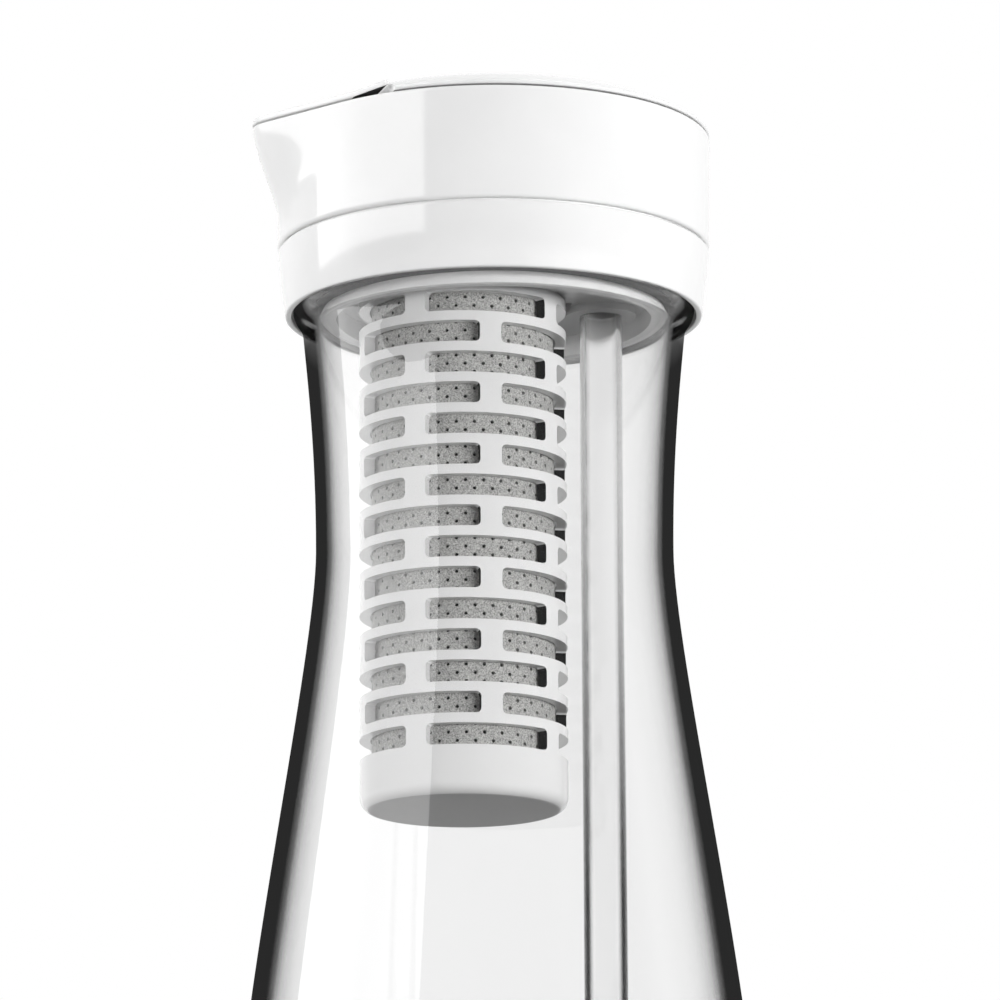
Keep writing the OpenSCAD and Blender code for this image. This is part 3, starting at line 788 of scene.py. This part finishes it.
class PITCHER_OT_lid_shell(bpy.types.Operator):
    """Draws the shell up from its foot, ring by ring, and pulls the spout out of it"""

    bl_idname = "pitcher.lid_shell"
    bl_label = "Lid Shell With Spout"

    def execute(self, context):
        foot, rim, rim_radius, lip = mm("shell_low", "rim_height", "rim_radius", "lip_radius")
        wall, spigot, spigot_in, spigot_low = 2.2, lip + 0.2, lip - 1.6, 223.9
        seam, seam_low, ledge = rim_radius - 1.9, foot - 0.42, foot + 2
        # Roundings are pairs of an inset and a distance from the foot or the rim
        foot_rounding = ((0.8, 0), (0.5, 0.06), (0.24, 0.24), (0.06, 0.5), (0, 0.8))
        rim_rounding = ((0, 0.5), (0.07, 0.23), (0.2, 0.07), (0.45, 0))
        rim_rounding += ((wall - 0.4, 0), (wall - 0.1, 0.1), (wall, 0.4))
        # Each ring has an inset from the outer wall, or else a plain radius, and a height
        rings = [(None, spigot, seam_low), (None, seam, seam_low), (None, seam, foot)]
        rings += [(inset, None, foot + up) for inset, up in foot_rounding]
        rings += [(0, None, foot + (rim - foot) * t / 24) for t in range(1, 24)]
        rings += [(inset, None, rim - down) for inset, down in rim_rounding]
        rings += [(wall, None, rim - (rim - foot) * t / 16) for t in range(1, 14)]
        rings += [(None, spigot_in, ledge), (None, spigot_in, spigot_low), (None, spigot, spigot_low)]
        angles, ends, near = plan_angles(), (seam_low, spigot_low), 1e-3
        deselect()
        bpy.ops.mesh.primitive_circle_add(
            vertices=len(angles), radius=rim_radius * MM, location=(0, 0, 0)
        )
        piece = name_new("shell_with_spout")
        edit()
        select_mesh()
        for _ in rings[1:]:
            pull_up(MM)
        leave()
        levels = {}
        for vertex in piece.data.vertices:
            levels.setdefault(round(vertex.co.z / MM), []).append(vertex)
        for level, (inset, plain, z) in enumerate(rings):
            found = sorted(levels[level], key=lambda v: math.atan2(v.co.y, -v.co.x))
            for vertex, degrees in zip(found, angles):
                angle = math.radians(degrees)
                radius = lid_radius(z, inset, abs(angle)) if plain is None else plain
                vertex.co = Vector((-radius * math.cos(angle), radius * math.sin(angle), z)) * MM

        def open_edge(edge):
            a, b = (piece.data.vertices[v].co / MM for v in edge.vertices)
            on_spigot = all(abs(p.xy.length - spigot) < near for p in (a, b))
            return on_spigot and abs(a.z - b.z) < near and any(abs(a.z - z) < near for z in ends)

        edit()
        pick(piece, open_edge, "edges")
        bpy.ops.mesh.bridge_edge_loops()
        close_up()
        leave()
        seat(piece, "lid", "lid_shell", lid_white(), 30)
        return {"FINISHED"}


class PITCHER_OT_lid_cover(bpy.types.Operator):
    """Turns the pillow-shaped cover, cuts it off in front of the flap and opens its air hole"""

    bl_idname = "pitcher.lid_cover"
    bl_label = "Lid Cover"

    def execute(self, context):
        rim, rim_z = mm("rim_radius", "rim_height")
        gap, ledge, skirt_wall, skirt_drop, thick, front = 0.4, 2.5, 1.5, 4, 1.8, 32.8
        low, ring = rim_z + gap, rim - ledge
        inner, skirt_low = ring - skirt_wall, low - skirt_drop
        outline = [(rim * i / 40, dome(rim * i / 40)) for i in range(41)]
        outline += [(rim, low), (ring, low), (ring, skirt_low), (inner, skirt_low)]
        outline += [(inner * i / 24, dome(inner * i / 24) - thick) for i in range(24, -1, -1)]
        piece = lathe("cover_pillow", rounded(outline, {40: 0.3, 41: 0.45}))
        edit()
        cut_across(-front * MM, use_fill=True, clear_inner=True)
        leave()

        wall_wide, wall_tall, wall_drop, skin, body_drop = 70.4, 17, 1.5, 0.02, 6
        deselect()
        bpy.ops.mesh.primitive_cube_add(size=1, location=((1 - front) * MM, 0, (low - wall_drop) * MM))
        wall = context.object
        wall.scale = (thick * MM, wall_wide * MM, wall_tall * MM)
        settle()
        body = [(0, low - body_drop), (ring, low - body_drop), (ring, low), (rim, low)]
        body += [(rim * i / 40, dome(rim * i / 40) - skin) for i in range(40, -1, -1)]
        combine(wall, "Trim", "INTERSECT", lathe("cover_body", body))
        combine(piece, "Front wall", "UNION", wall)

        hole_radius, drill_long, drill_rise, rounding = 2.5, 20, 8, 0.25
        deselect()
        bpy.ops.mesh.primitive_cylinder_add(
            vertices=48, radius=hole_radius * MM, depth=drill_long * MM,
            location=(sizes().tube_x, 0, (low + drill_rise) * MM),
        )
        drill = context.object
        settle()
        combine(piece, "Air hole", "DIFFERENCE", drill)
        soften(piece, rounding * MM, 2, 50)
        seat(piece, "lid", "lid_cover", lid_white(), 40)
        return {"FINISHED"}


class PITCHER_OT_spout_flap(bpy.types.Operator):
    """Draws the flap along the rim of the spout, raises its rear tab and rounds its edges"""

    bl_idname = "pitcher.spout_flap"
    bl_label = "Spout Flap"

    def execute(self, context):
        rim, rim_radius, thick = mm("rim_height", "rim_radius", "flap_thickness")
        gap, crease, tab, rise, rounding, dark = 0.34, 40.1, 34.1, 1.35, 0.3, 0.97
        low, side = rim + gap, math.sqrt(rim_radius**2 - tab**2)
        line = [(-tab, -side, low)]
        for degrees in plan_angles():
            angle = math.radians(degrees)
            radius = lid_radius(rim, 0, abs(angle))
            if radius * math.cos(angle) > tab + 0.05:
                line.append((-radius * math.cos(angle), radius * math.sin(angle), low))
        line.append((-tab, side, low))
        piece = begin("flap_plate")
        draw(line)
        select_mesh()
        bpy.ops.mesh.edge_face_add()
        cut_across(-crease * MM)
        select_mesh()
        pull_up(thick * MM)
        close_up()
        leave()
        for vertex in piece.data.vertices:
            vertex.co.z += rise * MM * max(0, (crease + vertex.co.x / MM) / (crease - tab))
        soften(piece, rounding * MM, 3, 55)
        self.knuckles(rim, rounding)
        # Painted shade: the flap's underside behind the crease is drawn almost black, as the shadow under the
        # raised tab
        shade(piece, lambda face: dark if face.normal.z < -0.9 and face.center.x > -crease * MM else 0.0)
        white = moulding("Flap White", colours().lid, 0.07, 0.11, shaded=True)
        seat(piece, "flap", "spout_flap", white, 40)
        return {"FINISHED"}

    def knuckles(self, rim, rounding):
        """Adds the two knuckles that hold the pin, each with its web to the flap."""
        pivot, aside, pin_drop, web_drop, radius, wide = 41.0, 9, 2.2, 0.8, 2.3, 4
        edit()
        for y in (-aside, aside):
            bpy.ops.mesh.primitive_cylinder_add(
                vertices=40, radius=radius * MM, depth=wide * MM, rotation=(math.pi / 2, 0, 0),
                location=(-pivot * MM, y * MM, (rim - pin_drop) * MM),
            )
            bpy.ops.mesh.bevel(offset=rounding * MM, segments=2, affect="EDGES")
            web = (-pivot * MM, y * MM, (rim - web_drop) * MM)
            bpy.ops.mesh.primitive_cube_add(size=wide * MM, location=web)
            bpy.ops.transform.resize(value=(1.05, 0.92, 0.6))
        leave()


class PITCHER_OT_plug_seal(bpy.types.Operator):
    """Turns the soft plug seal with its band and fin"""

    bl_idname = "pitcher.plug_seal"
    bl_label = "Plug Seal"

    def execute(self, context):
        low, high = span("neck_seal")
        reach = node_high("neck_seal").x / MM
        band, mid, inside = 39.2, 38.6, 37.6
        fin_drop, fin_slope, fin_edge, fin_thick = 1.55, 0.2, 0.3, 0.7
        fin = high - fin_drop
        outline = [
            (inside, low),
            (band, low),
            (band, fin - fin_slope),
            (reach, fin),
            (reach, fin + fin_edge),
            (mid, fin + fin_thick),
            (mid, high),
            (inside, high),
        ]
        piece = lathe("plug_seal_band", rounded(outline, {1: 0.3, 3: 0.12, 4: 0.12}))
        # Painted shade: the seal from just under its fin upward, in the pocket under the collar, is drawn
        # dark
        dark, painted_shade_low = 0.9, fin - 0.15
        shade(piece, lambda face: dark if face.center.z > painted_shade_low * MM else 0.0)
        silicone = moulding("White Silicone", colours().silicone, 0.45, 0.6, shaded=True)
        seat(piece, "lid", "neck_seal", silicone)
        return {"FINISHED"}


class PITCHER_OT_vent_tube(bpy.types.Operator):
    """Turns the clear vent tube with its rounded ends"""

    bl_idname = "pitcher.vent_tube"
    bl_label = "Vent Tube"

    def execute(self, context):
        s = sizes()
        low, high = span("vent_tube")
        out, inside = s.tube_radius / MM, (s.tube_radius - s.tube_wall) / MM
        outline = [(inside, low), (out, low), (out, high), (inside, high)]
        piece = lathe("vent_pipe", rounded(outline, {0: 0.3, 1: 0.4, 2: 0.4, 3: 0.3}), 64, s.tube_x)
        # Heights over which the painted flank shade fades and the plastic turns dull
        fade_low, fade_high = 0.085, 0.18
        clear = clear_pipe("Clear Plastic", colours().painted_tube_flank_shade, fade_low, fade_high)
        seat(piece, "lid", "vent_tube", clear)
        return {"FINISHED"}


class PITCHER_OT_basket(bpy.types.Operator):
    """Cuts one slot in a flat strip, repeats it in staggered rows, wraps the strip and adds cup and neck"""

    bl_idname = "pitcher.basket"
    bl_label = "Filter Basket"

    def execute(self, context):
        s = sizes()
        rows, top_row = 15, 214.8
        slots_low = top_row - (rows - 0.5) * s.slot_pitch / MM
        slots_high = top_row + 0.5 * s.slot_pitch / MM
        piece = self.slots(rows)
        wrap(piece, s.basket_wall, top_row * MM, s.basket_radius, s.filter_x)
        join(piece, self.cup(slots_low), self.neck(slots_high))
        edit()
        close_up(4e-6)
        leave()
        # The basket's white carries painted shade on its slot ends and on its cup's bottom
        white = moulding("Basket White", colours().basket, 0.13, 0.18, specular=0.45, shaded=True)
        seat(piece, "filter", "filter_basket", white, 30)
        return {"FINISHED"}

    def slots(self, rows):
        """The flat strip of staggered slots: two widths in the odd rows and one in the even rows."""
        radius, pitch = sizes().basket_radius, sizes().slot_pitch
        piece = self.cell("basket_slotted", 84, 0, 0)
        join(piece, self.cell("side_slot", 96, 90, 0))
        repeat(piece, 2, (radius * math.pi, 0, 0))
        even_row = self.cell("even_slot", 90, 45, 1)
        repeat(even_row, 4, (radius * math.pi / 2, 0, 0))
        join(piece, even_row)
        repeat(piece, (rows + 1) // 2, (0, -2 * pitch, 0))
        drop_faces(piece, lambda face: face.center.y < -(rows - 0.5) * pitch)
        return piece

    def cell(self, name, degrees, turn, row):
        """One flat cell with its slot, as wide as an angle, moved along by an angle and down by rows."""
        s = sizes()
        radius, tall, bar, column_step = s.basket_radius, s.slot_pitch, 12, 3
        corner, rounding, steep, painted_shade_facing_left, painted_shade_facing_right = 0.0011, 0.00035, 0.75, 1.0, 0.45
        wide, slot = radius * math.radians(degrees), radius * math.radians(degrees - bar)
        half_x, half_y = slot / 2, s.slot_height / 2
        same, near = 1e-7, 1e-5
        deselect()
        bpy.ops.mesh.primitive_plane_add(size=1)
        piece = name_new(name)
        edit()
        select_mesh()
        bpy.ops.transform.resize(value=(slot, s.slot_height, 1))
        bpy.ops.mesh.bevel(offset=corner, segments=4, affect="VERTICES")
        bpy.ops.mesh.delete(type="ONLY_FACE")
        bpy.ops.mesh.select_all(action="DESELECT")
        bpy.ops.mesh.primitive_plane_add(size=1)
        bpy.ops.transform.resize(value=(wide, tall, 1))
        bpy.ops.mesh.delete(type="ONLY_FACE")
        select_mesh()
        bpy.ops.mesh.bridge_edge_loops()
        for column in range(column_step - degrees // 2, degrees // 2, column_step):
            cut_across(radius * math.radians(column))
        select_mesh()
        pull_up(s.basket_wall)
        face_outwards()
        open_sides(piece, wide, tall)

        def slot_edge(edge):
            a, b = (piece.data.vertices[v].co for v in edge.vertices)
            level = abs(a.z - b.z) < same
            inside = all(abs(p.x) < half_x + 2 * near and abs(p.y) < half_y + near for p in (a, b))
            along = abs(a.y - b.y) < same and abs(abs(a.y) - half_y) > near
            upright = abs(a.x - b.x) < same and abs(abs(a.x) - half_x) > near
            return level and inside and not along and not upright

        # Painted shade: slot end walls facing left are drawn fully dark, walls facing right partly dark
        def painted_slot_end_shade(face):
            if face.normal.x < -steep:
                return painted_shade_facing_left
            return painted_shade_facing_right if face.normal.x > steep else 0.0

        pick(piece, slot_edge, "edges")
        bpy.ops.mesh.bevel(offset=rounding, segments=2, affect="EDGES", clamp_overlap=True)
        select_mesh()
        bpy.ops.mesh.delete_loose()
        select_mesh()
        bpy.ops.transform.translate(value=(radius * math.radians(turn), -row * tall, 0))
        leave()
        shade(piece, painted_slot_end_shade)
        return piece

    def cup(self, slots_low):
        """The closed bottom under the slots."""
        s = sizes()
        out, inner = s.basket_radius / MM, (s.basket_radius - s.basket_wall) / MM
        low, floor, corner, dark = 103.5, 105.9, 2.8, 0.45
        outline = [(out, slots_low), (out, low + corner)]
        for degrees in range(10, 91, 10):
            a = math.radians(degrees)
            outline.append((out - corner + corner * math.cos(a), low + corner - corner * math.sin(a)))
        outline += [(0, low), (0, floor), (inner - 0.6, floor), (inner - 0.2, floor + 0.15)]
        outline += [(inner, floor + 0.6), (inner, slots_low)]
        piece = lathe("basket_cup", outline, 120, s.filter_x, closed=False)
        # Painted shade: the cup's downward-facing bottom is drawn partly dark
        shade(piece, lambda face: dark if face.normal.z < -0.95 else 0.0)
        return piece

    def neck(self, slots_high):
        """The shoulder over the slots and the hub with its three bayonet lugs."""
        s = sizes()
        out, inner = s.basket_radius / MM, (s.basket_radius - s.basket_wall) / MM
        hub, shoulder, top = out - 0.9, 219.7, 230
        lug_low, lug_high, lug_out, lug_wide, lug_starts = 224.3, 226.5, 2.2, 24, (30, 150, 270)
        outline = [(out, slots_high), (out, shoulder - 0.2)]
        outline += [(out - 0.06, shoulder - 0.06), (out - 0.2, shoulder), (hub, shoulder)]
        outline += [(hub, lug_low), (hub, lug_high), (hub, top - 0.4), (hub - 0.4, top)]
        outline += [(inner, top), (inner, slots_high)]
        piece = lathe("basket_neck", outline, 120, s.filter_x, closed=False)

        def lug(face):
            x, y, z = face.center - Vector((s.filter_x, 0, 0))
            turn = math.degrees(math.atan2(y, x)) % 360
            on_hub = math.hypot(x, y) > (hub - 0.2) * MM and lug_low * MM < z < lug_high * MM
            return on_hub and any(start < turn < start + lug_wide for start in lug_starts)

        edit()
        pick(piece, lug, "polygons")
        bpy.ops.mesh.extrude_region_shrink_fatten(TRANSFORM_OT_shrink_fatten={"value": lug_out * MM})
        leave()
        return piece


class PITCHER_OT_sleeve(bpy.types.Operator):
    """Makes one perforation in a flat cell, repeats it in staggered rows and wraps the sheet"""

    bl_idname = "pitcher.sleeve"
    bl_label = "Filter Sleeve"

    def execute(self, context):
        s = sizes()
        low, high = node_low("filter_sleeve").z, node_high("filter_sleeve").z
        radius, thick, columns, hole_sides, turn = s.sleeve_radius, 0.0009, 32, 8, -2.6
        cell = 2 * math.pi * radius / columns
        rows = int((high - low) / s.hole_pitch)
        pitch = (high - low) / rows
        deselect()
        bpy.ops.mesh.primitive_circle_add(vertices=hole_sides, radius=s.hole_radius)
        piece = name_new("sleeve_perforated")
        edit()
        bpy.ops.mesh.select_all(action="DESELECT")
        bpy.ops.mesh.primitive_plane_add(size=1)
        bpy.ops.transform.resize(value=(cell, pitch, 1))
        bpy.ops.mesh.subdivide(number_cuts=1)
        bpy.ops.mesh.delete(type="ONLY_FACE")
        pick(piece, lambda v: v.index >= hole_sides and v.co.length < 1e-7)
        bpy.ops.mesh.delete(type="VERT")
        select_mesh()
        bpy.ops.mesh.bridge_edge_loops()
        select_mesh()
        pull_up(thick)
        face_outwards()
        open_sides(piece, cell, pitch)
        leave()
        repeat(piece, columns, (cell, 0, 0))
        edit()
        select_mesh()
        bpy.ops.mesh.duplicate_move(TRANSFORM_OT_translate={"value": (cell / 2, pitch, 0)})
        leave()
        repeat(piece, (rows + 1) // 2, (0, 2 * pitch, 0))
        drop_faces(piece, lambda face: face.center.y > (rows - 0.5) * pitch)
        wrap(piece, thick, low + pitch / 2, radius, s.filter_x, turn)
        fleece = pressed("Sleeve Fleece", colours().sleeve, 0.5, 1.6, 3000.0, 0.9, 0.00006)
        seat(piece, "filter", "filter_sleeve", fleece, 40)
        return {"FINISHED"}


class PITCHER_OT_inner_parts(bpy.types.Operator):
    """Gives the carried-over solids of lid, flap and cartridge their finishes"""

    bl_idname = "pitcher.inner_parts"
    bl_label = "Inner Parts"

    def execute(self, context):
        c = colours()
        base = moulding("Base Moulding", c.base, 0.3, 0.42, specular=0.3)
        grey = moulding("Grey Silicone", c.grey_silicone, 0.5, 0.65)
        dark = moulding("Dark Rubber", c.rubber, 0.5, 0.7)
        steel = brushed("Pin Steel", c.steel)
        carbon = pressed("Carbon Block", c.carbon, 0.5, 1.7, 1400.0, 0.95, 0.00008)
        finishes = {
            base: ("lid_base", "spout_liner", "core_tube", "cartridge_top_cap", "cartridge_bottom_cap"),
            grey: ("chamber_seal", "flap_pad", "vent_grommet"),
            dark: ("cover_seal", "basket_o_ring", "cartridge_o_ring"),
            steel: ("flap_pin", "outlet_screen"),
            carbon: ("carbon_block",),
        }
        for material, names in finishes.items():
            for name in names:
                NODES[name].data.materials.clear()
                NODES[name].data.materials.append(material)
        return {"FINISHED"}


# Stage


class PITCHER_OT_stage(bpy.types.Operator):
    """Sets the pale floor, the white surround, the soft lamps and the camera"""

    bl_idname = "pitcher.stage"
    bl_label = "Stage, Lamps And Camera"

    def execute(self, context):
        self.floor()
        self.surround()
        self.lamps()
        self.camera()
        context.scene.view_settings.view_transform = "Standard"
        return {"FINISHED"}

    def floor(self):
        """A pale floor that glows into the white surround and is clear from below."""
        floor_radius, drop, fade_start, fade_end = 6, 0.0002, 0.25, 0.7
        bounce = (0.12, 0.12, 0.12, 1)
        deselect()
        bpy.ops.mesh.primitive_circle_add(
            vertices=96, radius=floor_radius, fill_type="NGON", location=(0, 0, -drop)
        )
        floor = bpy.context.object
        floor.name = "floor"
        settle()
        material, wires, shader, out = new_material("Pale Floor")
        seen = wires.calculate("LESS_THAN", wires.ray()["Diffuse Depth"], 0.5)
        far = wires.spread(wires.distance(wires.place()), fade_start, fade_end)
        near = wires.mix(far, (*colours().floor, 1), BLACK)
        glow = wires.calculate("MULTIPLY", far, seen)
        wires.fill(shader, {"Base Color": wires.mix(seen, bounce, near), "Roughness": 0.9})
        wires.fill(shader, {"Emission Color": WHITE, "Emission Strength": glow})
        wires.fill(shader, {"Specular IOR Level": 0.1})
        wires.see_through(shader, out, wires.node("ShaderNodeNewGeometry").outputs["Backfacing"])
        floor.data.materials.append(material)

    def surround(self):
        """White to the eye all round, and dim in reflections on the camera's side, as a studio is."""
        camera_side, as_light = 0.2, 0.22
        world = bpy.data.worlds.new("White Surround")
        bpy.context.scene.world = world
        world.use_nodes = True
        world.node_tree.nodes.clear()
        wires = Wiring(world.node_tree)
        ray = wires.ray()
        seen = wires.calculate("LESS_THAN", ray["Diffuse Depth"], 0.5)
        way = wires.node("ShaderNodeTexCoord").outputs["Generated"]
        ahead = wires.node("ShaderNodeVectorMath", {0: way, 1: TOWARDS_CAMERA}, operation="DOT_PRODUCT")
        studio = wires.spread(ahead.outputs["Value"], 0.0, 0.3, 1.0, camera_side)
        bright = wires.calculate("MAXIMUM", ray["Is Camera Ray"], studio)
        strength = wires.spread(seen, 0.0, 1.0, as_light, bright)
        sky = wires.node("ShaderNodeBackground", {"Color": WHITE, "Strength": strength})
        wires.node("ShaderNodeOutputWorld", {"Surface": sky.outputs["Background"]})

    def lamp(self, name, turn, distance, height, aim, size, radiance):
        """An area lamp at an angle from the camera's side, aimed at a height on the axis."""
        data = bpy.data.lights.new(name, "AREA")
        data.shape = "RECTANGLE"
        data.size, data.size_y = size
        data.energy = radiance * math.pi * size[0] * size[1]
        lamp = bpy.data.objects.new(name, data)
        bpy.context.scene.collection.objects.link(lamp)
        way = Matrix.Rotation(math.radians(turn), 3, "Z") @ TOWARDS_CAMERA * distance
        lamp.location = (way.x, way.y, height)
        lamp.rotation_euler = (Vector((0, 0, aim)) - lamp.location).to_track_quat("-Z", "Y").to_euler()
        lamp.visible_camera = lamp.visible_transmission = False
        return lamp

    def lamps(self):
        """Lamps that light the pitcher unseen, and a soft box that is only seen in its gloss."""
        lamps = (
            self.lamp("key_right", 46, 1.0, 0.11, 0.2, (1.0, 0.2), 17.9),
            self.lamp("fill_left", -88, 1.0, 0.16, 0.2, (0.8, 0.28), 11.2),
            self.lamp("overhead_left", -60, 1.15, 1.71, 0.24, (1.4, 1.4), 1.7),
            self.lamp("top", 0, 0.05, 1.9, 0.24, (0.9, 0.9), 3.6),
            self.lamp("back", 165, 1.3, 0.8, 0.2, (1.2, 1.2), 2.2),
        )
        for lamp in lamps:
            lamp.visible_glossy = False
        soft_box = self.lamp("soft_box_left", -71, 1.5, 1.19, 1.19, (2.1, 1.71), 3.4)
        soft_box.visible_diffuse = False

    def camera(self):
        """A long lens that looks up at the neck from below the floor."""
        rise, roll = math.radians(-12.6), math.radians(-0.25)
        distance, aim_height, aim_aside = 1.569, 0.175, 0.00123
        data = bpy.data.cameras.new("photo_view")
        data.lens, data.sensor_width = 252, 36
        data.clip_end = 50
        camera = bpy.data.objects.new("photo_view", data)
        bpy.context.scene.collection.objects.link(camera)
        right = Vector((0, 0, 1)).cross(TOWARDS_CAMERA)
        back = TOWARDS_CAMERA * math.cos(rise) + Vector((0, 0, math.sin(rise)))
        up = back.cross(right)
        tilted = Matrix.Rotation(roll, 3, back)
        right, up = tilted @ right, tilted @ up
        place = Vector((0, 0, aim_height)) + aim_aside * right + distance * back
        turned = Matrix((right, up, back)).transposed().to_4x4()
        camera.matrix_world = Matrix.Translation(place) @ turned
        bpy.context.scene.camera = camera


class PITCHER_PT_panel(bpy.types.Panel):
    """Lists the pitcher's pieces, sizes and colours"""

    bl_idname = "PITCHER_PT_panel"
    bl_label = "Filter Pitcher"
    bl_space_type = "VIEW_3D"
    bl_region_type = "UI"
    bl_category = "Pitcher"

    def draw(self, context):
        for piece in PIECES:
            self.layout.operator(piece.bl_idname)
        for group in (context.scene.pitcher_sizes, context.scene.pitcher_colours):
            box = self.layout.box()
            for key in group.__annotations__:
                box.prop(group, key)


PIECES = (
    PITCHER_OT_stage,
    PITCHER_OT_carafe,
    PITCHER_OT_lid_collar,
    PITCHER_OT_lid_shell,
    PITCHER_OT_lid_cover,
    PITCHER_OT_spout_flap,
    PITCHER_OT_plug_seal,
    PITCHER_OT_vent_tube,
    PITCHER_OT_basket,
    PITCHER_OT_sleeve,
    PITCHER_OT_inner_parts,
)
CLASSES = (PitcherSizes, PitcherColours, *PIECES, PITCHER_PT_panel)


def register():
    for cls in CLASSES:
        bpy.utils.register_class(cls)
    bpy.types.Scene.pitcher_sizes = bpy.props.PointerProperty(type=PitcherSizes)
    bpy.types.Scene.pitcher_colours = bpy.props.PointerProperty(type=PitcherColours)


def unregister():
    del bpy.types.Scene.pitcher_colours
    del bpy.types.Scene.pitcher_sizes
    for cls in reversed(CLASSES):
        bpy.utils.unregister_class(cls)


def main():
    register()
    for piece in PIECES:
        group, name = piece.bl_idname.split(".")
        getattr(getattr(bpy.ops, group), name)()


if __name__ == "__main__":
    main()
